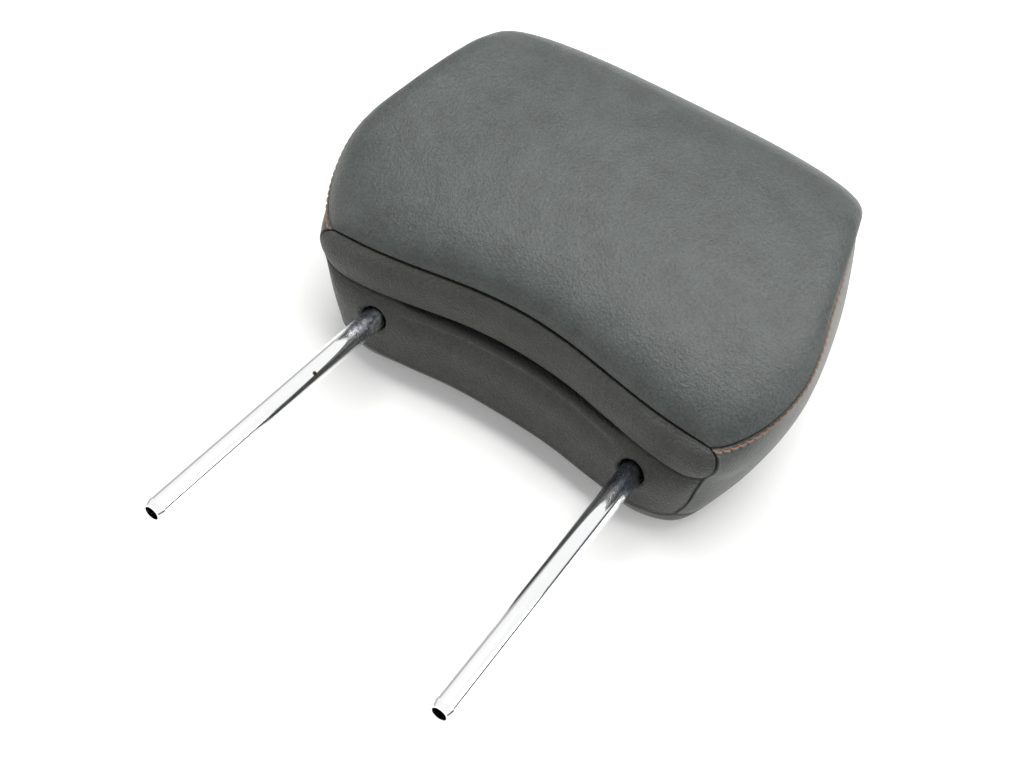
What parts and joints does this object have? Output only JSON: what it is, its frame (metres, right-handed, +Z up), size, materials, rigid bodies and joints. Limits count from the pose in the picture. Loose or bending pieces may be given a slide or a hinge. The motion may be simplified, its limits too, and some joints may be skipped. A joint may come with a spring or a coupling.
{
  "type": "car headrest",
  "caption": "Leather covered car seat headrest with a foam pad, side gussets, a padded bottom band and two chromed tube posts.",
  "frame": {"origin": "middle of the footprint on the plane that the pad's back lies on", "axes": "+Z up from the back of the pad to its face, +Y from the post tips to the pad's top edge, +X across the pad to the right as seen over the face with the posts nearest"},
  "size_m": [0.265, 0.3364, 0.1056],
  "materials": {
    "post_chrome": "polished chrome plating, lightly scuffed by the seat's guide sleeves",
    "leather": "fine grained dark grey leather with a soft satin sheen",
    "leather_lower": "fine grained dark grey leather, matt",
    "foam": "moulded open cell foam",
    "carrier_plastic": "moulded black plastic",
    "screw_steel": "zinc plated steel",
    "strip_plastic": "extruded black plastic",
    "stitch_thread": "twisted copper coloured sewing thread"
  },
  "bodies": {
    "root": {"post_frame": "post_chrome", "cover_front_panel": "leather", "cover_right_gusset": "leather", "cover_left_gusset": "leather", "cover_back_panel": "leather", "cover_bottom_band": "leather_lower", "cover_lower_panel": "leather_lower", "foam_core": "foam", "carrier_rear_shell": "carrier_plastic", "carrier_front_shell": "carrier_plastic", "carrier_screw_1": "screw_steel", "carrier_screw_2": "screw_steel", "carrier_screw_3": "screw_steel", "carrier_screw_4": "screw_steel", "closure_strip_upper": "strip_plastic", "closure_strip_lower": "strip_plastic", "stitch_thread_right": "stitch_thread", "stitch_thread_left": "stitch_thread"}
  },
  "joints": []
}
